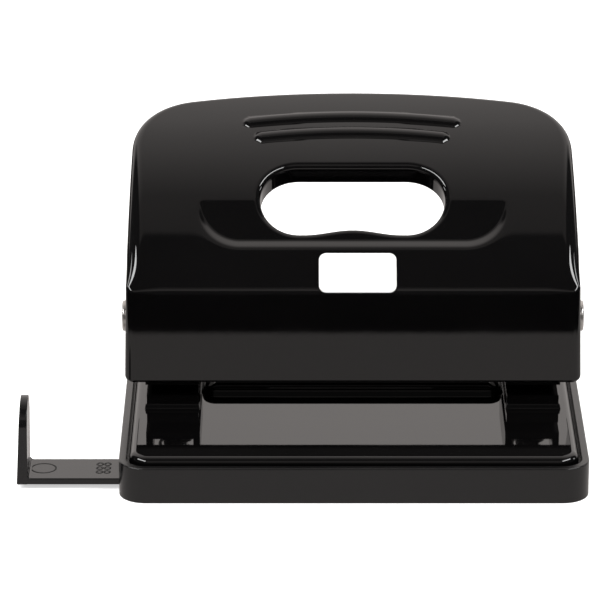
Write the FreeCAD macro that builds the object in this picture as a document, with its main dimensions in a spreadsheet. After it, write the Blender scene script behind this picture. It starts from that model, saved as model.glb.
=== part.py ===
import FreeCAD, Part
import math
import os

import Sketcher
from FreeCAD import Placement, Rotation, Vector

# Two-hole lever desk punch, in millimetres.
# +X is to the right of the person who uses it, +Y is away from them and +Z is up.
# The origin is on the surface it stands on, under the middle of the base.

doc = FreeCAD.newDocument("desk_punch")
sheet = doc.addObject("Spreadsheet::Sheet", "Sizes")


class Size:
    """A length or an angle that knows its number and the expression that gives it."""

    def __init__(self, number, formula):
        self.number = number
        self.formula = formula

    def __add__(self, other):
        other = as_size(other)
        return Size(self.number + other.number, f"({self.formula} + {other.formula})")

    def __sub__(self, other):
        other = as_size(other)
        return Size(self.number - other.number, f"({self.formula} - {other.formula})")

    def __rsub__(self, other):
        return as_size(other) - self

    def __mul__(self, other):
        other = as_size(other)
        return Size(self.number * other.number, f"({self.formula} * {other.formula})")

    def __truediv__(self, other):
        other = as_size(other)
        return Size(self.number / other.number, f"({self.formula} / {other.formula})")

    def __neg__(self):
        return Size(-self.number, f"(-1 * {self.formula})")


def as_size(value):
    return value if isinstance(value, Size) else Size(float(value), f"{float(value):.6f}")


def sine(angle):
    return Size(math.sin(math.radians(angle.number)), f"sin({angle.formula} * 1 deg)")


def cosine(angle):
    return Size(math.cos(math.radians(angle.number)), f"cos({angle.formula} * 1 deg)")


def root(value):
    return Size(math.sqrt(value.number), f"sqrt({value.formula})")


def size(alias, number):
    """Writes a driving dimension into the next row of the sheet."""
    size.row += 1
    sheet.set(f"A{size.row}", alias.replace("_", " "))
    sheet.set(f"B{size.row}", str(number))
    sheet.setAlias(f"B{size.row}", alias)
    return Size(float(number), f"Sizes.{alias}")


size.row = 0

# Chip tray, the moulded rim that the punch stands on
base_width = size("base_width", 102)
base_depth = size("base_depth", 84)
tray_height = size("tray_height", 8.1)
tray_corner = size("tray_corner", 6)
tray_wall = size("tray_wall", 1.5)
tray_floor = size("tray_floor", 1.0)
tray_bottom_edge = size("tray_bottom_edge", 1.6)
tray_top_edge = size("tray_top_edge", 0.3)
tray_ledge_height = size("tray_ledge_height", 3.9)
tray_ledge_overlap = size("tray_ledge_overlap", 0.8)
groove_width = size("groove_width", 1.8)
seat_gap = size("seat_gap", 0.1)

# Base plate, pressed from sheet
plate_top = size("plate_top", 10.5)
plate_thickness = size("plate_thickness", 1.2)
plate_corner = size("plate_corner", 4.5)
plate_shoulder = size("plate_shoulder", 2.2)
chip_hole_radius = size("chip_hole_radius", 4)

# Punching: two pins, their dies and the paper slot
pin_inset = size("pin_inset", 11)
pin_radius = size("pin_radius", 2.75)
pin_clearance = size("pin_clearance", 0.05)
die_thickness = size("die_thickness", 2.0)
slot_height = size("slot_height", 2.5)
paper_margin = size("paper_margin", 12)
pin_retract = size("pin_retract", 0.3)
pin_notch_depth = size("pin_notch_depth", 1.4)
pin_chamfer = size("pin_chamfer", 0.4)

# Stamped brackets, one round each pin
bracket_width = size("bracket_width", 12)
bracket_gauge = size("bracket_gauge", 1.5)
bracket_front_gap = size("bracket_front_gap", 0.3)
bracket_foot_length = size("bracket_foot_length", 12)
bracket_ear_radius = size("bracket_ear_radius", 4.0)
bracket_rail_height = size("bracket_rail_height", 5.5)
foot_rivet_radius = size("foot_rivet_radius", 1.5)
foot_rivet_head_radius = size("foot_rivet_head_radius", 2.5)
foot_rivet_head_height = size("foot_rivet_head_height", 1.1)
foot_rivet_tail_height = size("foot_rivet_tail_height", 0.7)
foot_rivet_edge_gap = size("foot_rivet_edge_gap", 0.5)

# Raised pad that carries the sheet between the brackets
pad_corner = size("pad_corner", 3.5)
pad_side_gap = size("pad_side_gap", 0.5)
pad_front = size("pad_front", 6.2)
pad_edge = size("pad_edge", 0.7)

# Lever, pressed from one sheet
lever_gauge = size("lever_gauge", 1.2)
panel_front = size("panel_front", 53)
panel_bottom = size("panel_bottom", 16.7)
panel_lean = size("panel_lean", 2.0)
panel_side_gap = size("panel_side_gap", 0.9)
bend_height = size("bend_height", 37.4)
bend_radius = size("bend_radius", 5)
handle_slope = size("handle_slope", 52)
handle_radius = size("handle_radius", 84.5)
handle_rear = size("handle_rear", 2.15)
handle_narrowing = size("handle_narrowing", 0.65)
cheek_length = size("cheek_length", 10)
rear_skirt = size("rear_skirt", 7.5)
rear_bow = size("rear_bow", 6.9)
rear_corner = size("rear_corner", 16.6)
lever_heel = size("lever_heel", 16)
lever_edge = size("lever_edge", 2.2)
grip_width = size("grip_width", 41)
grip_height = size("grip_height", 17.2)
grip_place = size("grip_place", 23.6)
grip_collar = size("grip_collar", 5.5)
grip_bump = size("grip_bump", 1.3)

# Thumb recess below the grip, and the two beads behind it
recess_top = size("recess_top", 22.9)
recess_slope = size("recess_slope", 46)
recess_length = size("recess_length", 10.8)
recess_half_width = size("recess_half_width", 32.4)
recess_corner = size("recess_corner", 7.3)
recess_wall_slope = size("recess_wall_slope", 60)
bead_radius = size("bead_radius", 2.8)
bead_height = size("bead_height", 0.9)
bead_bow_radius = size("bead_bow_radius", 125)
rear_bead_place = size("rear_bead_place", 48.9)
rear_bead_half_length = size("rear_bead_half_length", 22.5)
front_bead_place = size("front_bead_place", 43.2)
front_bead_half_length = size("front_bead_half_length", 19.9)

# Pivot, push rod and what holds them
pivot_back = size("pivot_back", 6)
pivot_height = size("pivot_height", 29.7)
pivot_radius = size("pivot_radius", 2)
pivot_head_radius = size("pivot_head_radius", 3.4)
pivot_head_height = size("pivot_head_height", 0.9)
pivot_tail_height = size("pivot_tail_height", 0.8)
head_edge = size("head_edge", 0.4)
pivot_clearance = size("pivot_clearance", 0.05)
washer_radius = size("washer_radius", 3.6)
rod_reach = size("rod_reach", 13.58)
rod_rise = size("rod_rise", 3.39)
rod_radius = size("rod_radius", 2.5)
rod_gap = size("rod_gap", 0.1)
rod_neck_radius = size("rod_neck_radius", 1.75)

# Return springs and the collars that they push
collar_drop = size("collar_drop", 1.0)
collar_bore_radius = size("collar_bore_radius", 2.1)
collar_radius = size("collar_radius", 4.1)
collar_thickness = size("collar_thickness", 1.4)
spring_wire = size("spring_wire", 0.8)
spring_radius = size("spring_radius", 3.5)
spring_turns = size("spring_turns", 5)

# Side guide for the sheet
guide_front = size("guide_front", 8)
guide_bar_width = size("guide_bar_width", 11.6)
guide_gauge = size("guide_gauge", 1.5)
guide_clearance = size("guide_clearance", 0.1)
guide_reach = size("guide_reach", 20.9)
guide_end_gap = size("guide_end_gap", 10.9)
guide_stop_height = size("guide_stop_height", 18.4)
guide_stop_corner = size("guide_stop_corner", 2.0)
guide_rib = size("guide_rib", 1.2)
guide_bend_radius = size("guide_bend_radius", 1.4)
guide_bridge = size("guide_bridge", 6)
bridge_inset = size("bridge_inset", 4.6)
bridge_pitch = size("bridge_pitch", 20.5)

# How far a cutting form runs past what it cuts
overrun = size("overrun", 2)

# Places that follow from the sizes above
half_width = base_width / 2
half_depth = base_depth / 2
plate_inset = tray_wall + groove_width
plate_width = base_width - plate_inset * 2
plate_depth = base_depth - plate_inset * 2
plate_bottom = tray_ledge_height + seat_gap
ledge_inset = plate_inset + plate_thickness + tray_ledge_overlap
die_top = plate_top + die_thickness
slot_top = die_top + slot_height
web_top = slot_top + bracket_gauge
lever_front = half_depth - panel_front
handle_end = half_depth - handle_rear
panel_half_width = half_width - panel_side_gap
handle_half_width = panel_half_width - handle_narrowing
pivot_y = lever_front + pivot_back
rod_y = pivot_y + rod_reach
rod_z = pivot_height + rod_rise
pin_y = pivot_y + (rod_reach + root(rod_reach * rod_reach + rod_rise * rod_rise)) / 2
hole_pitch = base_width - pin_inset * 2
pin_x = hole_pitch / 2
pin_top = rod_z - rod_radius - rod_gap
pin_bottom = slot_top + pin_retract
stop_y = pin_y + paper_margin
bracket_front = lever_front + lever_gauge + bracket_front_gap
bracket_rear = stop_y + bracket_foot_length
foot_rivet_y = stop_y + bracket_gauge + (bracket_foot_length - bracket_gauge) / 2
bracket_inner = pin_x - bracket_width / 2
bracket_outer = pin_x + bracket_width / 2
flange_inner = panel_half_width - lever_gauge
collar_top = pin_top - collar_drop
collar_bottom = collar_top - collar_thickness
guide_bottom = tray_floor + guide_clearance
guide_front_y = guide_front - half_depth
guide_length = base_width + guide_reach - guide_end_gap
handle_centre_y = lever_front + handle_radius * sine(handle_slope)
handle_centre_z = bend_height - handle_radius * cosine(handle_slope)
panel_tilt = panel_lean / (bend_height - panel_bottom)
lever_spread = base_width + overrun * 2
bow_radius = (handle_half_width * handle_half_width + rear_bow * rear_bow) / (rear_bow * 2)


def bind(thing, prop, value):
    """Sets a property from a size and keeps the two tied by an expression."""
    thing.setExpression(prop, as_size(value).formula)


def new_body(label):
    body = doc.addObject("PartDesign::Body", label)
    body.Label = label
    return body


PLANES = {"XY": "XY_Plane", "XZ": "XZ_Plane", "YZ": "YZ_Plane"}


def new_sketch(owner, name, plane, offset=0.0):
    """Puts a sketch on a plane of the body's own origin, moved along the plane's normal."""
    sketch = owner.newObject("Sketcher::SketchObject", name)
    for feature in owner.Origin.OriginFeatures:
        if feature.Role == PLANES[plane]:
            sketch.AttachmentSupport = [(feature, "")]
    sketch.MapMode = "FlatFace"
    bind(sketch, "AttachmentOffset.Base.z", offset)
    return sketch


def hold(sketch, kind, geometry, point, value):
    """Fixes one coordinate of a point of the sketch, measured from its origin."""
    number = as_size(value).number
    index = sketch.addConstraint(Sketcher.Constraint(kind, -1, 1, geometry, point, number))
    sketch.setExpression(f"Constraints[{index}]", as_size(value).formula)


def outline(sketch, corners):
    """Draws a closed outline. A corner is (u, v), or (u, v, centre u, centre v, turn) where an
    arc runs on to the next corner, turning "left" or "right". Corners and centres are held."""
    first = sketch.GeometryCount
    count = len(corners)
    ends = []
    for i, corner in enumerate(corners):
        start = Vector(as_size(corner[0]).number, as_size(corner[1]).number, 0)
        following = corners[(i + 1) % count]
        end = Vector(as_size(following[0]).number, as_size(following[1]).number, 0)
        if len(corner) == 2:
            sketch.addGeometry(Part.LineSegment(start, end), False)
            ends.append((1, 2))
            continue
        centre = Vector(as_size(corner[2]).number, as_size(corner[3]).number, 0)
        ring = Part.Circle(centre, Vector(0, 0, 1), (start - centre).Length)
        opening, closing = (start, end) if corner[4] == "left" else (end, start)
        angles = [math.atan2(p.y - centre.y, p.x - centre.x) for p in (opening, closing)]
        sketch.addGeometry(Part.ArcOfCircle(ring, *angles), False)
        ends.append((1, 2) if corner[4] == "left" else (2, 1))
    for i in range(count):
        after = (i + 1) % count
        joined = (first + i, ends[i][1], first + after, ends[after][0])
        sketch.addConstraint(Sketcher.Constraint("Coincident", *joined))
    for i, corner in enumerate(corners):
        hold(sketch, "DistanceX", first + i, ends[i][0], corner[0])
        hold(sketch, "DistanceY", first + i, ends[i][0], corner[1])
        if len(corner) > 2:
            following = corners[(i + 1) % count]
            run = abs(as_size(following[0]).number - as_size(corner[0]).number)
            rise = abs(as_size(following[1]).number - as_size(corner[1]).number)
            if rise >= run:
                hold(sketch, "DistanceX", first + i, 3, corner[2])
            else:
                hold(sketch, "DistanceY", first + i, 3, corner[3])


def rectangle(sketch, left, right, low, high):
    outline(sketch, [(left, low), (right, low), (right, high), (left, high)])


def circle(sketch, u, v, radius):
    radius = as_size(radius)
    centre = Vector(as_size(u).number, as_size(v).number, 0)
    index = sketch.addGeometry(Part.Circle(centre, Vector(0, 0, 1), radius.number), False)
    hold(sketch, "DistanceX", index, 3, u)
    hold(sketch, "DistanceY", index, 3, v)
    held = sketch.addConstraint(Sketcher.Constraint("Radius", index, radius.number))
    sketch.setExpression(f"Constraints[{held}]", radius.formula)


def extrude(body, kind, name, sketch, length, reverse=False, both=False):
    """Adds a pad or a pocket of the sketch to the body."""
    feature = body.newObject(f"PartDesign::{kind}", name)
    feature.Profile = sketch
    bind(feature, "Length", length)
    feature.Reversed = reverse
    feature.Midplane = both
    doc.recompute()
    return feature


def edges_where(shape, test):
    """Names the edges that the test picks by their middle and direction."""
    names = []
    for number, edge in enumerate(shape.Edges, 1):
        middle = edge.valueAt((edge.FirstParameter + edge.LastParameter) / 2)
        along = edge.lastVertex().Point - edge.firstVertex().Point
        if along.Length > 0:
            along.normalize()
        if test(edge, middle, along):
            names.append(f"Edge{number}")
    return names


def round_edges(body, name, base, test, radius):
    fillet = body.newObject("PartDesign::Fillet", name)
    fillet.Base = (base, edges_where(base.Shape, test))
    bind(fillet, "Radius", radius)
    doc.recompute()
    return fillet


def level_at(height):
    """A test for edges that lie at one height."""

    def test(edge, middle, along):
        return abs(middle.z - height) < 0.001 and abs(along.z) < 0.001

    return test


def rounded_block(body, name, width, depth, radius, floor, height, kind="Pad"):
    """Pads or pockets an upright rounded rectangle, centred, from one level over a height."""
    sketch = new_sketch(body, f"{name}_outline", "XY", floor)
    u = width / 2
    v = depth / 2
    corners = [
        (-u + radius, -v),
        (u - radius, -v, u - radius, -v + radius, "left"),
        (u, -v + radius),
        (u, v - radius, u - radius, v - radius, "left"),
        (u - radius, v),
        (-u + radius, v, -u + radius, v - radius, "left"),
        (-u, v - radius),
        (-u, -v + radius, -u + radius, -v + radius, "left"),
    ]
    outline(sketch, corners)
    return extrude(body, kind, name, sketch, height, reverse=(kind == "Pocket"))


def block(body, name, x, y, z, kind="Pad"):
    """Pads or pockets a box given by its two ends along each axis."""
    sketch = new_sketch(body, f"{name}_outline", "XY", z[0])
    rectangle(sketch, x[0], x[1], y[0], y[1])
    return extrude(body, kind, name, sketch, as_size(z[1]) - z[0], reverse=(kind == "Pocket"))


def tray():
    body = new_body("chip_tray")
    rim = rounded_block(body, "rim", base_width, base_depth, tray_corner, 0, tray_height)
    rim = round_edges(body, "bottom_round", rim, level_at(0), tray_bottom_edge)
    top = level_at(tray_height.number)
    rim = round_edges(body, "rim_round", rim, top, tray_top_edge)
    inner_width = base_width - tray_wall * 2
    inner_depth = base_depth - tray_wall * 2
    inner_corner = tray_corner - tray_wall
    above_ledge = tray_height - tray_ledge_height
    rounded_block(body, "plate_seat", inner_width, inner_depth, inner_corner, tray_ledge_height,
                  above_ledge, "Pocket")
    bin_width = base_width - ledge_inset * 2
    bin_depth = base_depth - ledge_inset * 2
    rounded_block(body, "chip_bin", bin_width, bin_depth, tray_wall, tray_floor,
                  tray_ledge_height - tray_floor, "Pocket")
    bar_front = guide_front_y - guide_clearance
    bar_rear = guide_front_y + guide_bar_width + guide_clearance
    bar_roof = tray_floor + guide_clearance * 2 + guide_gauge
    wall = half_width - ledge_inset
    run = (-wall, wall)
    rise = (tray_floor, tray_ledge_height)
    block(body, "front_rib", run, (bar_front - guide_rib, bar_front), rise)
    block(body, "rear_rib", run, (bar_rear, bar_rear + guide_rib), rise)
    for number in range(2):
        start = bridge_inset + bridge_pitch * number - wall
        across = (bar_front - guide_rib / 2, bar_rear + guide_rib / 2)
        block(body, f"bridge_{number}", (start, start + guide_bridge), across,
              (bar_roof, tray_ledge_height))
    through = (-half_width - overrun, -wall)
    block(body, "guide_slot", through, (bar_front, bar_rear), (tray_floor, bar_roof), "Pocket")
    return body


def press_plate():
    body = new_body("base_plate")
    height = plate_top - plate_bottom
    skin = rounded_block(body, "skin", plate_width, plate_depth, plate_corner, plate_bottom, height)
    skin = round_edges(body, "shoulder", skin, level_at(plate_top.number), plate_shoulder)
    pad_half = bracket_inner - pad_side_gap
    pad_start = lever_front + pad_front
    pad = block(body, "paper_pad", (-pad_half, pad_half), (pad_start, bracket_rear),
                (plate_top, die_top))

    def pad_upright(edge, middle, along):
        return abs(along.z) > 0.999 and middle.z > plate_top.number

    pad = round_edges(body, "pad_corners", pad, pad_upright, pad_corner)
    pad = round_edges(body, "pad_rim", pad, level_at(die_top.number), pad_edge)
    hollow_corner = plate_corner - plate_thickness
    rounded_block(body, "hollow", plate_width - plate_thickness * 2,
                  plate_depth - plate_thickness * 2, hollow_corner, plate_bottom,
                  height - plate_thickness, "Pocket")
    inside = pad_half - plate_thickness
    block(body, "pad_hollow", (-inside, inside),
          (pad_start + plate_thickness, bracket_rear - plate_thickness),
          (plate_bottom, die_top - plate_thickness), "Pocket")
    holes = new_sketch(body, "chip_holes_outline", "XY", plate_bottom)
    for side in (-1, 1):
        circle(holes, pin_x * side, pin_y, chip_hole_radius)
    extrude(body, "Pocket", "chip_holes", holes, height, reverse=True)
    rivet_holes(body, plate_bottom, height)
    return body


def rivet_holes(body, floor, height, sides=(-1, 1)):
    """Cuts the holes of the foot rivets, two behind each paper stop."""
    holes = new_sketch(body, "rivet_holes_outline", "XY", floor)
    for side in sides:
        for place in foot_rivet_places(side):
            circle(holes, place, foot_rivet_y, foot_rivet_radius)
    extrude(body, "Pocket", "rivet_holes", holes, height, reverse=True)


def foot_rivet_places(side):
    offset = bracket_width / 2 - foot_rivet_head_radius - foot_rivet_edge_gap
    return [pin_x * side - offset, pin_x * side + offset]


def die_plate(side, word):
    body = new_body(f"{word}_die_plate")
    centre = pin_x * side
    half = (bracket_width - pad_side_gap) / 2
    block(body, "plate", (centre - half, centre + half), (bracket_front, bracket_rear),
          (plate_top, die_top))
    hole = new_sketch(body, "die_hole_outline", "XY", plate_top)
    circle(hole, centre, pin_y, pin_radius + pin_clearance)
    extrude(body, "Pocket", "die_hole", hole, die_thickness, reverse=True)
    rivet_holes(body, plate_top, die_thickness, (side,))
    return body


def bracket(side, word):
    """A channel, open upwards, whose web steps down behind the slot to a riveted foot."""
    body = new_body(f"{word}_punch_bracket")
    centre = pin_x * side
    left = centre - bracket_width / 2
    right = centre + bracket_width / 2
    web = new_sketch(body, "web_outline", "YZ", left)
    outline(web, [
        (bracket_front, slot_top),
        (stop_y, slot_top),
        (stop_y, die_top),
        (bracket_rear, die_top),
        (bracket_rear, die_top + bracket_gauge),
        (stop_y + bracket_gauge, die_top + bracket_gauge),
        (stop_y + bracket_gauge, web_top),
        (bracket_front, web_top),
    ])
    extrude(body, "Pad", "web", web, bracket_width)
    rail_top = web_top + bracket_rail_height
    ear = bracket_ear_radius
    for name, start in (("left_wall", left), ("right_wall", right - bracket_gauge)):
        wall = new_sketch(body, f"{name}_outline", "YZ", start)
        outline(wall, [
            (bracket_front, slot_top),
            (stop_y, slot_top),
            (stop_y, web_top),
            (stop_y - bracket_rail_height / 2, rail_top),
            (pivot_y + ear, rail_top),
            (pivot_y + ear, pivot_height, pivot_y, pivot_height, "left"),
            (pivot_y - ear, pivot_height),
            (bracket_front, rail_top),
        ])
        extrude(body, "Pad", name, wall, bracket_gauge)
    hole = new_sketch(body, "pin_hole_outline", "XY", slot_top)
    circle(hole, centre, pin_y, pin_radius + pin_clearance)
    extrude(body, "Pocket", "pin_hole", hole, bracket_gauge, reverse=True)
    axle = new_sketch(body, "pivot_hole_outline", "YZ", left)
    circle(axle, pivot_y, pivot_height, pivot_radius)
    extrude(body, "Pocket", "pivot_hole", axle, bracket_width, reverse=True)
    rivet_holes(body, die_top, bracket_gauge, (side,))
    return body


def primitive(kind, name, **sizes):
    """A Part primitive whose properties are tied to sizes."""
    thing = doc.addObject(f"Part::{kind}", name)
    for prop, value in sizes.items():
        bind(thing, prop, value)
    return thing


def place(thing, x, y, z, axis=None, angle=0.0):
    """Stands a primitive at a point, turned about an axis by a fixed angle."""
    if axis is not None:
        thing.Placement = Placement(Vector(0, 0, 0), Rotation(axis, angle))
    for name, value in (("x", x), ("y", y), ("z", z)):
        bind(thing, f"Placement.Base.{name}", value)
    return thing


def joined(kind, name, shapes):
    """Fuses or intersects several shapes into one."""
    thing = doc.addObject(f"Part::{kind}", name)
    thing.Shapes = shapes
    doc.recompute()
    return thing


def cut(name, base, tool):
    thing = doc.addObject("Part::Cut", name)
    thing.Base = base
    thing.Tool = tool
    doc.recompute()
    return thing


def turned(label, profile, axis="Z"):
    """A body turned from a half profile given as (radius, along) corners."""
    body = new_body(label)
    sketch = new_sketch(body, "profile", "XZ")
    outline(sketch, profile)
    spin = body.newObject("PartDesign::Revolution", "turn")
    spin.Profile = sketch
    spin.ReferenceAxis = (sketch, ["V_Axis"])
    spin.Angle = 360
    doc.recompute()
    return body


def button_head(radius, seat, height):
    """Profile corners of a flat rivet head with a rounded edge, from its seat to its axis."""
    shoulder = seat + height - head_edge
    return [
        (radius, seat),
        (radius, shoulder, radius - head_edge, shoulder, "left"),
        (radius - head_edge, seat + height),
        (0, seat + height),
    ]


def foot_rivets():
    """Four rivets that hold the brackets and dies down on the base plate."""
    under = plate_top - plate_thickness
    over = die_top + bracket_gauge
    bodies = []
    for side in (-1, 1):
        for number, place_x in enumerate(foot_rivet_places(side)):
            rivet = turned(f"foot_rivet_{side + 1}_{number}", [
                (0, under - foot_rivet_tail_height),
                (foot_rivet_head_radius, under - foot_rivet_tail_height),
                (foot_rivet_head_radius, under),
                (foot_rivet_radius, under),
                (foot_rivet_radius, over),
                *button_head(foot_rivet_head_radius, over, foot_rivet_head_height),
            ])
            place(rivet, place_x, foot_rivet_y, 0)
            bodies.append(rivet)
    group = doc.addObject("Part::Compound", "bracket_rivets")
    group.Label = "bracket_rivets"
    group.Links = bodies
    doc.recompute()
    return group


def pivot_rivet(side, word):
    """Headed outside the lever and spread inside the bracket's outer wall."""
    inner = bracket_outer - bracket_gauge
    outer = panel_half_width + pivot_clearance
    rivet = turned(f"{word}_pivot_rivet", [
        (0, inner - pivot_tail_height),
        (pivot_head_radius, inner - pivot_tail_height),
        (pivot_head_radius, inner),
        (pivot_radius, inner),
        (pivot_radius, outer),
        *button_head(pivot_head_radius, outer, pivot_head_height),
    ])
    return place(rivet, 0, pivot_y, pivot_height, Vector(0, 1, 0), 90.0 * side)


def washer(side, word):
    inner = bracket_outer
    length = flange_inner - bracket_outer - seat_gap
    ring = turned(f"{word}_pivot_washer", [
        (pivot_radius + pivot_clearance, inner),
        (washer_radius, inner),
        (washer_radius, inner + length),
        (pivot_radius + pivot_clearance, inner + length),
    ])
    return place(ring, 0, pivot_y, pivot_height, Vector(0, 1, 0), 90.0 * side)


def handle_height(y, offset):
    """Height of the handle's curved surface, set in by the offset, at one place along Y."""
    radius = handle_radius - offset
    run = as_size(y) - handle_centre_y
    return handle_centre_z + root(radius * radius - run * run)


def lever_form(word, offset, floor):
    """The lever's outside, or its inside where the offset is the sheet's gauge: a side profile
    cut to the outline that it has from above."""
    front = lever_front + offset
    bend = handle_height(front, offset)
    foot = front - (bend - floor) * panel_tilt
    rear = handle_end + overrun - offset
    side = new_body(f"{word}_side_form")
    profile = new_sketch(side, "profile", "YZ")
    outline(profile, [
        (foot, floor),
        (front, bend, handle_centre_y, handle_centre_z, "right"),
        (rear, handle_height(rear, offset)),
        (rear, floor),
    ])
    prism = extrude(side, "Pad", "prism", profile, lever_spread, both=True)
    limit = bend.number

    def at_bend(edge, middle, along):
        return abs(along.x) > 0.999 and abs(middle.z - limit) < 0.001

    round_edges(side, "bend", prism, at_bend, bend_radius - offset)

    above = new_body(f"{word}_plan_form")
    half = handle_half_width - offset
    wide = panel_half_width - offset
    bow_centre = handle_end - bow_radius
    inner_radius = bow_radius - offset
    start = bow_centre + root(inner_radius * inner_radius - half * half)
    cheek = lever_front + cheek_length
    plan = new_sketch(above, "profile", "XY")
    outline(plan, [
        (-wide, -half_depth),
        (wide, -half_depth),
        (wide, cheek),
        (half, start, 0, bow_centre, "left"),
        (-half, start),
        (-wide, cheek),
    ])
    slab = extrude(above, "Pad", "slab", plan, base_width)
    limit_y = start.number

    def rear_upright(edge, middle, along):
        return abs(along.z) > 0.999 and abs(middle.y - limit_y) < 0.001

    round_edges(above, "rear_corners", slab, rear_upright, rear_corner - offset)
    return joined("MultiCommon", f"{word}_form", [side, above])


def crown_edges(offset, floor):
    """A test for the edges where the lever's top and front turn down into its sides."""
    radius = handle_radius.number - offset.number
    front = (lever_front + offset).number
    bend = handle_height(lever_front + offset, offset).number

    def test(edge, middle, along):
        run = middle.y - handle_centre_y.number
        reach = math.hypot(run, middle.z - handle_centre_z.number)
        across = abs(along.x) > 0.999 and middle.y < 0
        on_handle = abs(reach - radius) < 0.01
        on_front = middle.y < front + bend_radius.number and middle.z > floor.number + 1
        at_side = abs(middle.x) > handle_half_width.number - offset.number - 1
        in_front_face = abs(front - (bend - middle.z) * panel_tilt.number - middle.y) < 0.01
        on_bend = middle.z > bend_height.number - bend_radius.number
        edge_of_front = on_front and at_side and (in_front_face or on_bend)
        return (on_handle or edge_of_front) and not across

    return test


def rounded_form(word, offset, floor):
    form = lever_form(word, offset, floor)
    body = doc.addObject("PartDesign::Body", f"lever_{word}")
    body.BaseFeature = form
    doc.recompute()
    return round_edges(body, "crown", body.Tip, crown_edges(offset, floor), lever_edge - offset)


def handle_spot(run):
    """Slope, Y and Z of the handle's curve at one arc length up from its bend."""
    slope = handle_slope - run / handle_radius * (180 / math.pi)
    y = handle_centre_y - handle_radius * sine(slope)
    z = handle_centre_z + handle_radius * cosine(slope)
    return slope, y, z


def tilt(thing, slope, y, z):
    """Stands a sketch or a body at a point, sloping up to the rear."""
    thing.Placement = Placement(Vector(0, 0, 0), Rotation(Vector(1, 0, 0), 30))
    bind(thing, "Placement.Rotation.Angle", slope)
    bind(thing, "Placement.Base.y", y)
    bind(thing, "Placement.Base.z", z)
    return thing


def thumb_recess(name, depth):
    """A prism over the flat below the grip, set in by the depth, with walls that slope out."""
    sketch = doc.addObject("Sketcher::SketchObject", f"{name}_outline")
    spread = depth * (1 - sine(recess_wall_slope)) / cosine(recess_wall_slope)
    wide = recess_half_width + spread
    low = -recess_length - spread
    corner = recess_corner + spread
    outline(sketch, [
        (-wide + corner, low),
        (wide - corner, low, wide - corner, low + corner, "left"),
        (wide, low + corner),
        (wide, recess_corner),
        (-wide, recess_corner),
        (-wide, low + corner, -wide + corner, low + corner, "left"),
    ])
    slope, y, z = handle_spot(recess_top)
    tilt(sketch, recess_slope, y + depth * sine(recess_slope), z - depth * cosine(recess_slope))
    prism = doc.addObject("Part::Extrusion", name)
    prism.Base = sketch
    prism.DirMode = "Normal"
    prism.Solid = True
    bind(prism, "LengthFwd", overrun + depth)
    bind(prism, "TaperAngle", recess_wall_slope)
    doc.recompute()
    return prism


def bead(name, run, half_length, radius):
    """A round bar with ball ends, bowed towards the handle's rear and sunk in its surface."""
    slope, y, z = handle_spot(run)
    sunk = bead_radius - bead_height
    arc = doc.addObject("PartDesign::Body", f"{name}_bar")
    section = new_sketch(arc, f"{name}_section", "YZ")
    circle(section, bead_bow_radius, -sunk, radius)
    sweep = arc.newObject("PartDesign::Revolution", f"{name}_sweep")
    sweep.Profile = section
    sweep.ReferenceAxis = (section, ["V_Axis"])
    sweep.Midplane = True
    bind(sweep, "Angle", half_length / bead_bow_radius * (360 / math.pi))
    tilt(arc, slope, y - bead_bow_radius * cosine(slope), z - bead_bow_radius * sine(slope))
    swing = half_length / bead_bow_radius * (180 / math.pi)
    drop = bead_bow_radius * (1 - cosine(swing))
    shapes = [arc]
    for side in (-1, 1):
        ball = primitive("Sphere", f"{name}_end_{side + 1}", Radius=radius)
        ball_y = y - drop * cosine(slope) + sunk * sine(slope)
        ball_z = z - drop * sine(slope) - sunk * cosine(slope)
        shapes.append(place(ball, bead_bow_radius * sine(swing) * side, ball_y, ball_z))
    doc.recompute()
    return shapes


def pressed_form(word, offset, floor):
    """The rounded form with its two beads raised and its thumb recess pressed in."""
    form = rounded_form(word, offset, floor)
    rear = bead(f"{word}_rear_bead", rear_bead_place, rear_bead_half_length, bead_radius - offset)
    front = bead(f"{word}_front_bead", front_bead_place, front_bead_half_length,
                 bead_radius - offset)
    raised = joined("MultiFuse", f"{word}_beaded_form", [form, *rear, *front])
    return cut(f"{word}_pressed_form", raised, thumb_recess(f"{word}_recess", offset))


def grip_outline(name, grow, top, depth):
    """A prism of the grip hole, square to the handle where the hole is centred."""
    sketch = doc.addObject("Sketcher::SketchObject", f"{name}_outline")
    radius = grip_height / 2 + grow
    reach = grip_width / 2 - grip_height / 2
    bump = grip_height / 2
    rise = grip_bump
    bow = (bump * bump + rise * rise) / (rise * 2)
    outline(sketch, [
        (-reach, -radius),
        (-bump, -radius, 0, -radius + rise - bow, "right"),
        (bump, -radius),
        (reach, -radius, reach, 0, "left"),
        (reach, radius),
        (-reach, radius, -reach, 0, "left"),
    ])
    slope, y, z = handle_spot(grip_place)
    tilt(sketch, slope, y, z)
    prism = doc.addObject("Part::Extrusion", name)
    prism.Base = sketch
    prism.DirMode = "Normal"
    prism.Solid = True
    bind(prism, "LengthFwd", top)
    bind(prism, "LengthRev", depth)
    doc.recompute()
    return prism


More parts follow.
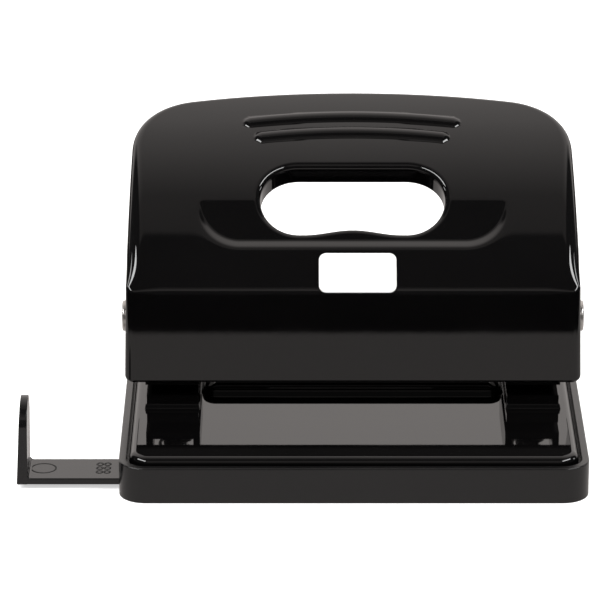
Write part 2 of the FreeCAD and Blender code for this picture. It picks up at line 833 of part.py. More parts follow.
def lever():
    outer = pressed_form("outer", as_size(0), panel_bottom)
    inner = pressed_form("inner", lever_gauge, as_size(0))
    shell = cut("lever_shell", outer, inner)
    above = grip_collar + overrun
    ring = grip_outline("collar_ring", lever_gauge, above, grip_collar)
    collar = joined("MultiCommon", "grip_collar", [ring, outer])
    sheet_metal = joined("MultiFuse", "lever_sheet", [shell, collar])
    hole = grip_outline("grip_hole", as_size(0), above, grip_collar * 2)

    below = new_body("lever_underside")
    clear = new_sketch(below, "profile", "YZ")
    skirt_foot = handle_height(handle_end, as_size(0)) - rear_skirt
    heel = lever_front + lever_heel
    outline(clear, [
        (heel, panel_bottom - overrun),
        (heel, panel_bottom),
        (handle_end - lever_gauge, skirt_foot),
        (half_depth + overrun, skirt_foot),
        (half_depth + overrun, panel_bottom - overrun),
    ])
    extrude(below, "Pad", "prism", clear, lever_spread, both=True)

    axle = primitive("Cylinder", "pivot_bore", Radius=pivot_radius + pivot_clearance,
                     Height=lever_spread)
    place(axle, -lever_spread / 2, pivot_y, pivot_height, Vector(0, 1, 0), 90)
    rod_bore = primitive("Cylinder", "rod_bore", Radius=rod_neck_radius, Height=lever_spread)
    place(rod_bore, -lever_spread / 2, rod_y, rod_z, Vector(0, 1, 0), 90)
    openings = joined("MultiFuse", "lever_openings", [hole, below, axle, rod_bore])
    result = cut("lever", sheet_metal, openings)
    result.Label = "lever"
    return result


def push_rod():
    """Crosses the lever and presses both pins; its necks are headed flush in the flanges."""
    shoulder = handle_half_width - lever_gauge - seat_gap
    end = handle_half_width
    rod = turned("push_rod", [
        (0, -end),
        (rod_neck_radius, -end),
        (rod_neck_radius, -shoulder),
        (rod_radius, -shoulder),
        (rod_radius, shoulder),
        (rod_neck_radius, shoulder),
        (rod_neck_radius, end),
        (0, end),
    ])
    return place(rod, 0, rod_y, rod_z, Vector(0, 1, 0), 90)


def punch_pin(side, word):
    pin = turned(f"{word}_punch_pin", [
        (0, pin_bottom),
        (pin_radius, pin_bottom),
        (pin_radius, collar_bottom),
        (collar_bore_radius, collar_bottom),
        (collar_bore_radius, collar_top),
        (pin_radius, collar_top),
        (pin_radius, pin_top - pin_chamfer),
        (pin_radius - pin_chamfer, pin_top),
        (0, pin_top),
    ])
    notch = new_sketch(pin, "notch_outline", "YZ")
    half = pin_radius + pin_clearance
    low = pin_bottom - pin_clearance
    outline(notch, [(-half, low), (half, low), (0, pin_bottom + pin_notch_depth)])
    extrude(pin, "Pocket", "cutting_notch", notch, pin_radius * 4, both=True)
    return place(pin, pin_x * side, pin_y, 0)


def spring_collar(side, word):
    ring = turned(f"{word}_spring_collar", [
        (collar_bore_radius, collar_bottom),
        (collar_radius, collar_bottom),
        (collar_radius, collar_top),
        (collar_bore_radius, collar_top),
    ])
    return place(ring, pin_x * side, pin_y, 0)


def return_spring(side, word):
    body = new_body(f"{word}_return_spring")
    low = web_top + seat_gap + spring_wire / 2
    high = collar_bottom - seat_gap - spring_wire / 2
    wire = new_sketch(body, "wire_outline", "XZ")
    flat = spring_wire / 2
    slant = spring_wire / 4
    rise = flat * root(as_size(3)) / 2
    outline(wire, [
        (spring_radius - flat, low),
        (spring_radius - slant, low - rise),
        (spring_radius + slant, low - rise),
        (spring_radius + flat, low),
        (spring_radius + slant, low + rise),
        (spring_radius - slant, low + rise),
    ])
    coil = body.newObject("PartDesign::AdditiveHelix", "coil")
    coil.Profile = wire
    coil.ReferenceAxis = (wire, ["V_Axis"])
    coil.Mode = "height-turns-angle"
    bind(coil, "Height", high - low)
    bind(coil, "Turns", spring_turns)
    doc.recompute()
    return place(body, pin_x * side, pin_y, 0)


def paper_guide():
    body = new_body("paper_guide")
    profile = new_sketch(body, "profile", "XZ", -guide_front_y - guide_bar_width)
    low = guide_bottom
    high = guide_bottom + guide_gauge
    left = -half_width - guide_reach
    outline(profile, [
        (left - guide_gauge, low),
        (left + guide_length, low),
        (left + guide_length, high),
        (left, high),
        (left, low + guide_stop_height),
        (left - guide_gauge, low + guide_stop_height),
    ])
    strip = extrude(body, "Pad", "strip", profile, guide_bar_width)
    top = (low + guide_stop_height).number
    outside = (left - guide_gauge).number

    def at_top_corner(edge, middle, along):
        return abs(along.x) > 0.999 and abs(middle.z - top) < 0.001

    def at_foot(edge, middle, along):
        low_edge = abs(middle.z - low.number) < 0.001
        return abs(along.y) > 0.999 and low_edge and abs(middle.x - outside) < 0.001

    strip = round_edges(body, "stop_corners", strip, at_top_corner, guide_stop_corner)
    round_edges(body, "foot_bend", strip, at_foot, guide_bend_radius)
    return body


SIDES = ((-1, "left"), (1, "right"))
parts = [tray(), press_plate(), foot_rivets(), lever(), push_rod(), paper_guide()]
for side, word in SIDES:
    for maker in (die_plate, bracket, pivot_rivet, washer, punch_pin, spring_collar, return_spring):
        parts.append(maker(side, word))
doc.recompute()

for thing in doc.Objects:
    if "Invalid" in thing.State or "Error" in thing.State:
        raise RuntimeError(f"{thing.Label} failed: {thing.State}")
for part in parts:
    if part.Shape.isNull() or not part.Shape.isValid():
        raise RuntimeError(f"{part.Label} has no valid shape")

os.makedirs("parts", exist_ok=True)
for part in parts:
    part.Shape.exportStep(f"parts/{part.Label}.step")
    print(part.Label, len(part.Shape.Solids), round(part.Shape.Volume, 1))
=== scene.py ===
import math

import bpy
import numpy as np
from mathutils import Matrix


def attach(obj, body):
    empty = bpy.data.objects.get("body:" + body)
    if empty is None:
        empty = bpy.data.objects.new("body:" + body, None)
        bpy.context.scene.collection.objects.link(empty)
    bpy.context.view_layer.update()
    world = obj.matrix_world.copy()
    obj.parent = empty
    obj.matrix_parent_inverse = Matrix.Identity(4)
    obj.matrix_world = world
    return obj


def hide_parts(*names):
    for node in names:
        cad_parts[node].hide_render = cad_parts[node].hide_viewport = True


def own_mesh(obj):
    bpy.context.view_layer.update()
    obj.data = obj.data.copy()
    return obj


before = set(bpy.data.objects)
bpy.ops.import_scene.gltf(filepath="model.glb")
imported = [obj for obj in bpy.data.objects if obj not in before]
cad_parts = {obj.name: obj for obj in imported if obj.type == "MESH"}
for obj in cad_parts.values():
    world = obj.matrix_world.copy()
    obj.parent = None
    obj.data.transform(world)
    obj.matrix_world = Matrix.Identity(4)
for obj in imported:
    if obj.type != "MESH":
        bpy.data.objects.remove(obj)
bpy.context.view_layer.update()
scene = bpy.context.scene
print("frame loaded")

# Desk punch. Lengths are in millimetres up to gridPiece, +X right, +Y away from the user, +Z up, and
# the origin is under the middle of the base.
mm = 0.001


# Makes a material and returns it with its tree, its shader and its Object coordinates.
def newMaterial(name):
    material = bpy.data.materials.new(name)
    material.use_nodes = True
    tree = material.node_tree
    shader = tree.nodes["Principled BSDF"]
    place = tree.nodes.new("ShaderNodeTexCoord").outputs["Object"]
    return material, tree, shader, place


def noise(tree, place, scale, detail=3.0):
    node = tree.nodes.new("ShaderNodeTexNoise")
    node.inputs["Scale"].default_value = scale
    node.inputs["Detail"].default_value = detail
    tree.links.new(place, node.inputs["Vector"])
    return node.outputs["Fac"]


# Maps the range that a noise value mostly keeps to, 0.3 to 0.7, to low and high.
def spread(tree, value, low, high):
    node = tree.nodes.new("ShaderNodeMapRange")
    node.inputs["From Min"].default_value = 0.3
    node.inputs["From Max"].default_value = 0.7
    node.inputs["To Min"].default_value = low
    node.inputs["To Max"].default_value = high
    tree.links.new(value, node.inputs["Value"])
    return node.outputs["Result"]


def tint(tree, value, dark, light):
    ramp = tree.nodes.new("ShaderNodeValToRGB")
    ramp.color_ramp.elements[0].color = (*dark, 1)
    ramp.color_ramp.elements[1].color = (*light, 1)
    tree.links.new(value, ramp.inputs["Fac"])
    return ramp.outputs["Color"]


def bump(tree, shader, value, strength, distance):
    node = tree.nodes.new("ShaderNodeBump")
    node.inputs["Strength"].default_value = strength
    node.inputs["Distance"].default_value = distance
    tree.links.new(value, node.inputs["Height"])
    tree.links.new(node.outputs["Normal"], shader.inputs["Normal"])


paint = {
    "dark": (0.0014, 0.0013, 0.0014),
    "light": (0.0024, 0.0022, 0.0023),
    "roughness": (0.020, 0.035),
    "cloudScale": 60.0,
    "peelScale": 420.0,
    "peelStrength": 0.25,
    "peelDepth": 0.000004,
}


# Stoved black enamel: a smooth gloss coat with a faint orange peel.
def glossPaint(name, settings):
    material, tree, shader, place = newMaterial(name)
    broad = noise(tree, place, settings["cloudScale"])
    tree.links.new(tint(tree, broad, settings["dark"], settings["light"]), shader.inputs["Base Color"])
    tree.links.new(spread(tree, broad, *settings["roughness"]), shader.inputs["Roughness"])
    peel = noise(tree, place, settings["peelScale"], 1.0)
    bump(tree, shader, peel, settings["peelStrength"], settings["peelDepth"])
    return material


plastic = {
    "dark": (0.0030, 0.0030, 0.0032),
    "light": (0.0050, 0.0048, 0.0050),
    "roughness": (0.16, 0.24),
    "cloudScale": 45.0,
    "grainScale": 1400.0,
    "grainStrength": 0.2,
    "grainDepth": 0.000004,
}


# Black injection-moulded plastic with a very fine grain.
def mouldedPlastic(name, settings):
    material, tree, shader, place = newMaterial(name)
    broad = noise(tree, place, settings["cloudScale"])
    tree.links.new(tint(tree, broad, settings["dark"], settings["light"]), shader.inputs["Base Color"])
    tree.links.new(spread(tree, broad, *settings["roughness"]), shader.inputs["Roughness"])
    grain = noise(tree, place, settings["grainScale"], 2.0)
    bump(tree, shader, grain, settings["grainStrength"], settings["grainDepth"])
    return material


steel = {
    "cloudScale": 160.0,
    "markScale": 900.0,
    "markStrength": 0.12,
    "markDepth": 0.000006,
}


# Plated steel: small clouding in its colour and fine marks in its gloss.
def platedSteel(name, dark, light, roughness):
    material, tree, shader, place = newMaterial(name)
    shader.inputs["Metallic"].default_value = 1.0
    cloud = noise(tree, place, steel["cloudScale"], 4.0)
    fine = noise(tree, place, steel["markScale"], 2.0)
    tree.links.new(tint(tree, cloud, dark, light), shader.inputs["Base Color"])
    tree.links.new(spread(tree, fine, *roughness), shader.inputs["Roughness"])
    bump(tree, shader, fine, steel["markStrength"], steel["markDepth"])
    return material


finishes = {
    "lever_paint": glossPaint("leverEnamel", paint),
    "plate_paint": glossPaint("plateEnamel", dict(paint, roughness=(0.025, 0.045))),
    "tray_plastic": mouldedPlastic("trayPlastic", plastic),
    "guide_paint": mouldedPlastic("guidePlastic", dict(plastic, roughness=(0.10, 0.15))),
    "bracket_steel": glossPaint("bracketEnamel", dict(paint, roughness=(0.10, 0.16))),
    "rivet_steel": platedSteel("nickelRivet", (0.52, 0.50, 0.48), (0.64, 0.62, 0.60), (0.26, 0.38)),
    "pin_steel": platedSteel("groundPinSteel", (0.42, 0.42, 0.43), (0.58, 0.58, 0.58), (0.20, 0.34)),
    "spring_steel": platedSteel("springWire", (0.16, 0.155, 0.15), (0.24, 0.235, 0.23), (0.28, 0.40)),
}
finishes["badge"] = mouldedPlastic("badgeFilm", dict(
    plastic, dark=(0.80, 0.80, 0.79), light=(0.86, 0.86, 0.85), roughness=(0.28, 0.36), grainScale=900.0))
finishes["ink"] = mouldedPlastic("printedInk", dict(plastic, roughness=(0.55, 0.65)))
finishes["matteBlack"] = mouldedPlastic("blackedRivet", dict(plastic, roughness=(0.55, 0.65)))
finishes["blackOxide"] = platedSteel("blackOxide", (0.030, 0.030, 0.032), (0.050, 0.050, 0.052),
                                     (0.30, 0.40))
nodeFinish = {
    "chip_tray": "tray_plastic",
    "base_plate": "plate_paint",
    "bracket_rivets": "matteBlack",
    "lever": "lever_paint",
    "push_rod": "blackOxide",
    "paper_guide": "guide_paint",
}
for side in ("left", "right"):
    nodeFinish[f"{side}_die_plate"] = "plate_paint"
    nodeFinish[f"{side}_punch_bracket"] = "bracket_steel"
    nodeFinish[f"{side}_pivot_rivet"] = "rivet_steel"
    nodeFinish[f"{side}_pivot_washer"] = "rivet_steel"
    nodeFinish[f"{side}_punch_pin"] = "pin_steel"
    nodeFinish[f"{side}_spring_collar"] = "rivet_steel"
    nodeFinish[f"{side}_return_spring"] = "spring_steel"
for node, finish in nodeFinish.items():
    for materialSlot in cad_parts[node].material_slots:
        materialSlot.material = finishes[finish]
print("finishes assigned")


# Turns a rows x columns x 3 array of points in millimetres into a smooth closed mesh of quads: the
# last column joins the first, and the last row joins the first or both end rows are filled.
def gridPiece(name, points, body, finish, normals=None, closeAlong=False):
    rows, columns = points.shape[:2]
    i, j = np.meshgrid(np.arange(rows if closeAlong else rows - 1), np.arange(columns), indexing="ij")
    down, over = (i + 1) % rows, (j + 1) % columns
    corners = np.stack([i * columns + j, down * columns + j, down * columns + over, i * columns + over], -1)
    corners = corners.reshape(-1, 4)
    ends = [] if closeAlong else [np.arange(columns), np.arange(rows * columns)[-columns:][::-1]]
    flat = points.reshape(-1, 3)
    first, second, third = flat[corners[:, 0]], flat[corners[:, 1]], flat[corners[:, 2]]
    inward = ((first - flat.mean(0)) * np.cross(second - first, third - first)).sum() < 0
    if inward:
        corners, ends = corners[:, ::-1], [end[::-1] for end in ends]
    loops = np.concatenate([corners.reshape(-1), *ends])
    sizes = np.concatenate([np.full(len(corners), 4), np.full(len(ends), columns)])
    mesh = bpy.data.meshes.new(name)
    mesh.vertices.add(rows * columns)
    mesh.vertices.foreach_set("co", (flat * mm).reshape(-1).astype(np.float32))
    mesh.loops.add(len(loops))
    mesh.loops.foreach_set("vertex_index", loops.astype(np.int32))
    mesh.polygons.add(len(sizes))
    mesh.polygons.foreach_set("loop_start", (np.cumsum(sizes) - sizes).astype(np.int32))
    mesh.update(calc_edges=True)
    mesh.shade_smooth()
    if normals is not None:
        mesh.normals_split_custom_set_from_vertices(normals.reshape(-1, 3))
    return addPiece(mesh, body, finish)


def addPiece(mesh, body, finish):
    piece = bpy.data.objects.new(mesh.name, mesh)
    scene.collection.objects.link(piece)
    mesh.materials.append(finishes[finish])
    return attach(piece, body)


# Each vector divided by its length.
def unit(vectors):
    return vectors / np.linalg.norm(vectors, axis=-1, keepdims=True)


# Eases from 0 to 1: three times the square less twice the cube.
def smooth(value):
    value = np.clip(value, 0, 1)
    return value * value * (3 - 2 * value)


# Arcs, each its centre, radius, first and last angle, joined by straight lines into a closed outline
# with outward normals.
def arcLoop(*arcs):
    points, normals = [], []
    for x, y, radius, start, end in arcs:
        turn = np.radians(np.linspace(start, end, max(8, int(radius * (end - start) / 25))))
        normals.append(np.column_stack([np.cos(turn), np.sin(turn)]))
        points.append(normals[-1] * radius + [x, y])
    return np.concatenate(points), np.concatenate(normals)


# Four straight sides joined by a quarter circle at each corner.
def roundRectangle(halfX, halfY, corner):
    x, y = halfX - corner, halfY - corner
    return arcLoop((x, y, corner, 0, 90), (-x, y, corner, 90, 180), (-x, -y, corner, 180, 270),
                   (x, -y, corner, 270, 360))


# One closed outline set inwards again and again: each row has its inset, its height, no higher than
# the limit there, and how far its normal tips up from level, in degrees.
def nestedOutlines(rows, outline, facing, limit=np.inf):
    points, normals = [], []
    for inset, height, tip in rows:
        side, up = math.cos(math.radians(tip)), math.sin(math.radians(tip))
        level = np.broadcast_to(np.minimum(height, limit), len(outline))
        points.append(np.column_stack([outline - facing * inset, level]))
        normals.append(np.column_stack([facing * side, np.full(len(outline), up)]))
    return np.stack(points), np.stack(normals)


# An outline drawn out from low to high, its ends inset by a quarter round of the edge radius. Gives
# points and normals as level, outline x and outline y, the order of X, Y and Z.
def slab(outline, facing, low, high, edge, between=2):
    turn = np.radians(np.linspace(0, 90, 5))
    middle = np.linspace(low + edge, high - edge, between)[1:-1]
    level = np.concatenate([(low + edge - edge * np.sin(turn))[::-1], middle,
                            high - edge + edge * np.sin(turn)])
    tip = np.concatenate([-np.sin(turn)[::-1], 0 * middle, np.sin(turn)])
    side = np.sqrt(1 - tip ** 2)[:, None, None]
    flat = outline[None] - facing[None] * edge * (1 - side)
    width = np.broadcast_to(level[:, None, None], flat.shape[:2] + (1,))
    ends = np.broadcast_to(tip[:, None, None], width.shape)
    return np.concatenate([width, flat], -1), np.concatenate([ends, facing[None] * side], -1)


lever = {
    "pressLine": -11.0,          # the panel's front face at its bend, along Y
    "bendHeight": 37.4,
    "slope": math.radians(52),   # of the handle at its bend
    "radius": 84.5,
    "rear": 39.85,
    "bow": 6.9,
    "halfWidth": 50.1,
    "cheek": -1.0,               # along Y, where the sides start to close in
    "narrowing": 0.65,
    "frontCorner": 1.8,
    "cornerBlend": 7.2,          # the front's edge radius changes over this length to the corner's
    "rearCorner": 16.6,
    "frontEdge": 3.5,            # radius between the handle and the panel
    "cornerEdge": 1.2,
    "shoulder": (7.0, 3.9),      # how far behind the corner the side's edge is widest, and its radius
    "sideEdge": 2.2,
    "gauge": 1.2,
    "foot": 17.4,
    "lean": 1.96,
    "flare": 0.4,                # how far the sides stand out at the foot
    "flareFade": (10.0, 20.0),   # along Y, where the flare fades out
    "heel": 5.0,
    "skirt": 7.5,
}
axisY = lever["pressLine"] + lever["radius"] * math.sin(lever["slope"])
axisZ = lever["bendHeight"] - lever["radius"] * math.cos(lever["slope"])
lever["tilt"] = lever["lean"] / (lever["bendHeight"] - lever["foot"])


# Height of the handle's cylinder, set in by an amount, over a place along Y.
def arcHeight(y, inset=0.0):
    return axisZ + np.sqrt((lever["radius"] - inset) ** 2 - (y - axisY) ** 2)


# Arc length up the handle from its bend to a place along Y.
def arcRun(y):
    return (lever["slope"] - np.arcsin((axisY - y) / lever["radius"])) * lever["radius"]


# Right half of the lever's outline from above, from the middle of the front to the middle of the
# rear: straight runs and arcs as points, with outward normals and the edge radius at each.
def leverPlan():
    points, normals = [], []

    def add(x, y, nx, ny):
        points.append(np.column_stack(np.broadcast_arrays(x, y)))
        normals.append(np.column_stack(np.broadcast_arrays(nx, ny, points[-1][:, 0]))[:, :2])

    half, front = lever["halfWidth"], lever["pressLine"]
    corner, rearCorner = lever["frontCorner"], lever["rearCorner"]
    halfRear = half - lever["narrowing"]
    bowRadius = (halfRear ** 2 + lever["bow"] ** 2) / (2 * lever["bow"])
    bowCentre = lever["rear"] - bowRadius
    add(np.linspace(0, half - corner, 60), front, 0.0, -1.0)
    turn = np.radians(np.linspace(-90, 0, 14)[1:])
    add(half - corner + corner * np.cos(turn), front + corner + corner * np.sin(turn),
        np.cos(turn), np.sin(turn))
    add(half, np.linspace(front + corner, lever["cheek"], 24)[1:], 1.0, 0.0)
    # the side leans in and meets the rear corner at a tangent, and that meets the bowed rear edge
    centreX = halfRear - rearCorner
    centreY = bowCentre + math.sqrt((bowRadius - rearCorner) ** 2 - centreX ** 2)
    awayX, awayY = centreX - half, centreY - lever["cheek"]
    lean = math.atan2(awayY, awayX) - math.asin(rearCorner / math.hypot(awayX, awayY))
    length = math.sqrt(awayX ** 2 + awayY ** 2 - rearCorner ** 2)
    along = np.linspace(0, length, 44)[1:]
    add(half + math.cos(lean) * along, lever["cheek"] + math.sin(lean) * along,
        math.sin(lean), -math.cos(lean))
    last = math.atan2(centreY - bowCentre, centreX)
    turn = np.linspace(lean - math.pi / 2, last, 40)[1:]
    add(centreX + rearCorner * np.cos(turn), centreY + rearCorner * np.sin(turn),
        np.cos(turn), np.sin(turn))
    turn = np.linspace(last, math.pi / 2, 56)[1:]
    add(bowRadius * np.cos(turn), bowCentre + bowRadius * np.sin(turn),
        np.cos(turn), np.sin(turn))
    points, normals = np.concatenate(points), np.concatenate(normals)
    # the edge radius: even along the front, small at the corner, a quarter sine up to the shoulder
    # and an eased step down behind it
    behind = points[:, 1] - front - corner
    shoulderRun, shoulderEdge = lever["shoulder"]
    rise = np.sin(np.clip(behind / shoulderRun, 0, 1) * math.pi / 2)
    fall = smooth((behind - shoulderRun) / (centreY - front - corner))
    side = lever["cornerEdge"] + (shoulderEdge - lever["cornerEdge"]) * rise
    side -= (shoulderEdge - lever["sideEdge"]) * fall
    across = np.interp(points[:, 0], [half - lever["cornerBlend"], half - corner],
                       [lever["frontEdge"], lever["cornerEdge"]])
    return points, normals, np.where(behind < 0, across, side)


grip = {
    "halfWidth": 20.5,
    "halfHeight": 8.6,
    "place": 23.6,               # arc length up from the bend to its middle
    "bump": 1.2,                 # how far the middle of its lower edge rises
    "rim": 1.6,
    "collar": 5.7,
    "spokeShare": 0.6,           # of the way from even steps round the hole to steps by bearing
}


# A slot with round ends, walked by arc length from the middle of its lower edge to the middle of its
# upper edge, with a soft bump in the lower edge. Gives points and normals into the sheet.
def gripOutline(walk):
    end = grip["halfHeight"]
    reach = grip["halfWidth"] - end
    turn = np.clip((walk - reach) / end, 0, math.pi) - math.pi / 2
    x = np.where(walk < reach, walk, reach + end * np.cos(turn))
    x = np.where(walk > reach + math.pi * end, 2 * reach + math.pi * end - walk, x)
    v = end * np.sin(turn)
    phase = np.clip(x / (reach - 1), -1, 1) * math.pi
    low = smooth(-v / end)
    rise = grip["bump"] * (1 + np.cos(phase)) / 2 * low
    lean = -grip["bump"] * np.sin(phase) / 2 * math.pi / (reach - 1) * low
    normal = unit(np.column_stack([np.cos(turn) + lean * (turn < -1.5), np.sin(turn)]))
    return np.column_stack([x, v + rise]), normal


beads = {
    "rows": ((48.9, 24.6), (43.2, 22.0)),     # arc length up from the bend, half length
    "halfWidth": 2.1,
    "height": 0.9,
    "bowRadius": 125.0,
}


# Two raised beads: a parabola across a bowed line, with ball ends.
def beadHeight(x, run):
    total = np.zeros_like(x)
    for middle, half in beads["rows"]:
        body = half - beads["halfWidth"]
        inside = np.clip(x, -body, body)
        line = middle - inside ** 2 / (2 * beads["bowRadius"])
        away = np.hypot(x - inside, run - line) / beads["halfWidth"]
        total = np.maximum(total, beads["height"] * np.clip(1 - away ** 2, 0, 1))
    return total


recess = {
    "top": 23.6,                 # arc length where its flat floor leaves the handle's curve
    "fall": 0.187,
    "ease": 1.1,
    "low": 10.8,
    "halfWidth": 34.2,
    "corner": 9.3,
    "wallSlope": 0.62,
    "wallEase": 0.5,
    "footEase": 0.25,
}


# The lower of a flat floor, which the handle's curve rises above, and walls of even slope that run in
# from an outline with round lower corners, each eased into the next by a hyperbola.
def recessDepth(x, run):
    back = np.hypot(np.maximum(recess["top"] - run, 0), recess["ease"]) - recess["ease"]
    floor = recess["fall"] * back - back ** 2 / (2 * lever["radius"])
    corner = recess["corner"]
    dx = np.maximum(np.abs(x) - (recess["halfWidth"] - corner), 0)
    dy = np.maximum(recess["low"] + corner - run, 0)
    inside = corner - np.hypot(dx, dy)
    wall = recess["wallSlope"] * (inside + np.hypot(inside, recess["wallEase"])) / 2
    return np.maximum((floor + wall - np.hypot(floor - wall, recess["footEase"])) / 2, 0)


# The beads' height less the recess's depth, over places (x, arc length) on the handle.
def handleLift(x, run):
    return beadHeight(x, run) - recessDepth(x, run)


# Points and normals of the pressed handle at places (x, arc length) of its unrolled sheet: a cylinder
# raised by the beads and sunk by the recess, its normal tipped by the lift's gradient.
def onHandle(flat):
    x, run = flat[:, 0], flat[:, 1]
    slope = lever["slope"] - run / lever["radius"]
    up = np.column_stack([0 * x, -np.sin(slope), np.cos(slope)])
    along = np.column_stack([0 * x, np.cos(slope), np.sin(slope)])
    step = 0.02
    gradientX = (handleLift(x + step, run) - handleLift(x - step, run)) / (2 * step)
    gradientRun = (handleLift(x, run + step) - handleLift(x, run - step)) / (2 * step)
    normal = unit(up - gradientRun[:, None] * along - gradientX[:, None] * np.array([1.0, 0, 0]))
    base = np.column_stack([x, axisY + 0 * x, axisZ + 0 * x]) + up * lever["radius"]
    return base + up * handleLift(x, run)[:, None], normal


# Turns evenly from one unit vector to another, row by row.
def slerp(first, second, t):
    angle = np.arccos(np.clip((first * second).sum(1, keepdims=True), -1, 1))
    return (first * np.sin((1 - t) * angle) + second * np.sin(t * angle)) / np.sin(angle)


# Completes a loop from its right half, without doubling the two rows in the middle.
def mirrored(half, sign):
    return np.concatenate([half, (half * sign)[-2:0:-1]])


# The lever's outer skin as closed rings, from the foot of the grip's collar over its rim, across the
# handle, round the crowned edges and down the walls to the open foot, with its normals.
def leverSkin():
    half, halfNormal, halfEdge = leverPlan()
    outline = mirrored(half, [-1, 1])
    facing = mirrored(halfNormal, [-1, 1])
    edge = mirrored(halfEdge[:, None], 1)

    # crown: an arc of the edge radius, its centre set in from the plan and from the handle
    inner = outline - facing * edge
    centre = np.column_stack([inner, arcHeight(inner[:, 1], edge[:, 0])])
    up = unit(np.column_stack([0 * inner[:, 0], inner[:, 1] - axisY, centre[:, 2] - axisZ]))
    front = np.clip(-facing[:, 1:], 0, 1)
    fadeStart, fadeEnd = lever["flareFade"]
    side = facing[:, :1] * smooth((fadeEnd - outline[:, 1:]) / (fadeEnd - fadeStart))
    flare = lever["flare"] / (lever["bendHeight"] - lever["foot"])
    out = unit(np.hstack([facing, lever["tilt"] * front + flare * np.abs(side)]))
    rings, normals = [], []

    # grip: the collar's wall, then its rim
    start = centre + up * edge
    run = arcRun(start[:, 1])
    count = len(half)
    total = 2 * (grip["halfWidth"] - grip["halfHeight"]) + math.pi * grip["halfHeight"]
    walk = np.linspace(0, total, 900)
    sample, _ = gripOutline(walk)
    bearing = np.arctan2(run[:count] - grip["place"], start[:count, 0])
    straight = np.interp(bearing, np.arctan2(sample[:, 1], sample[:, 0]), walk)
    even = np.linspace(0, total, count)
    share = grip["spokeShare"]
    hole, holeNormal = gripOutline(share * straight + (1 - share) * even)
    hole, holeNormal = mirrored(hole, [-1, 1]), mirrored(holeNormal, [-1, 1])
    hole[:, 1] += grip["place"]
    slope = lever["slope"] - hole[:, 1:] / lever["radius"]
    into = np.hstack([holeNormal[:, :1], holeNormal[:, 1:] * np.cos(slope),
                      holeNormal[:, 1:] * np.sin(slope)])
    middle = lever["slope"] - grip["place"] / lever["radius"]
    down = np.array([0, math.sin(middle), -math.cos(middle)])
    rim = grip["rim"]
    for depth in np.linspace(grip["collar"], rim, 8)[:-1]:
        rings.append(onHandle(hole)[0] + down * depth)
        normals.append(-into)
    for turn in np.radians(np.linspace(0, 90, 9)):
        point, normal = onHandle(hole + holeNormal * rim * (1 - math.cos(turn)))
        rings.append(point + down * rim * (1 - math.sin(turn)))
        normals.append(unit(normal * math.sin(turn) - into * math.cos(turn)))

    # handle: straight lines in the unrolled sheet from the rim to the crown
    rimEdge = hole + holeNormal * rim
    crownEdge = np.column_stack([start[:, 0], run])
    for t in np.linspace(0, 1, 112)[1:-1]:
        point, normal = onHandle(rimEdge * (1 - t) + crownEdge * t)
        rings.append(point)
        normals.append(normal)
    for t in np.linspace(0, 1, 11):
        direction = slerp(up, out, t)
        rings.append(centre + direction * edge)
        normals.append(direction)

    # walls: down from the crown to a foot that rises behind the heel
    top = rings[-1]
    skirt = float(arcHeight(lever["rear"])) - lever["skirt"]
    rise = (skirt - lever["foot"]) / (lever["rear"] - lever["gauge"] - lever["heel"])
    foot = lever["foot"] + np.maximum(top[:, 1:2] - lever["heel"], 0) * rise
    foot = np.minimum(foot, skirt)
    for t in np.linspace(0, 1, 16)[1:]:
        z = top[:, 2:] * (1 - t) + foot * t
        y = top[:, 1:2] - (top[:, 2:] - z) * lever["tilt"] * front
        x = top[:, :1] + side * np.minimum(top[:, 2:] - z, lever["bendHeight"] - lever["foot"]) * flare
        rings.append(np.hstack([x, y, z]))
        normals.append(out)
    return np.stack(rings), np.stack(normals)


# Gives a skin its thickness: its rings, a half round over the last edge, the inner skin back to the
# first ring with fewer rings, and a half round over that edge, as one band that closes.
def sheetBand(points, normals, gauge, turns=4, thin=3):
    rows, rowNormals = [points], [normals]
    for index, following in ((-1, -2), (0, 1)):
        normal = normals[index]
        middle = points[index] - normal * gauge / 2
        outward = points[index] - points[following]
        outward = unit(outward - (outward * normal).sum(1, keepdims=True) * normal)
        turn = np.radians(np.linspace(0, 180, turns + 2)[1:-1])[:, None, None]
        direction = normal * np.cos(turn) + outward * np.sin(turn)
        if index == 0:
            kept = np.unique(np.append(np.arange(0, len(points), thin), len(points) - 1))[::-1]
            rows.append((points - normals * gauge)[kept])
            rowNormals.append(-normals[kept])
            direction = direction[::-1]
        rows.append(middle + direction * gauge / 2)
        rowNormals.append(direction)
    return np.concatenate(rows), np.concatenate(rowNormals)


leverBand, leverNormals = sheetBand(*leverSkin(), lever["gauge"])
leverPiece = gridPiece("leverShell", leverBand, "lever", "lever_paint", leverNormals, closeAlong=True)
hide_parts("lever")
print("lever pressed")

badge = {
    "middle": 1.0,
    "low": -0.1,                 # arc lengths of its ends, from the bend
    "high": 9.2,
    "width": 17.1,
    "corner": 1.6,
    "thickness": 0.25,
    "sunk": 0.02,                # into the paint under it
}


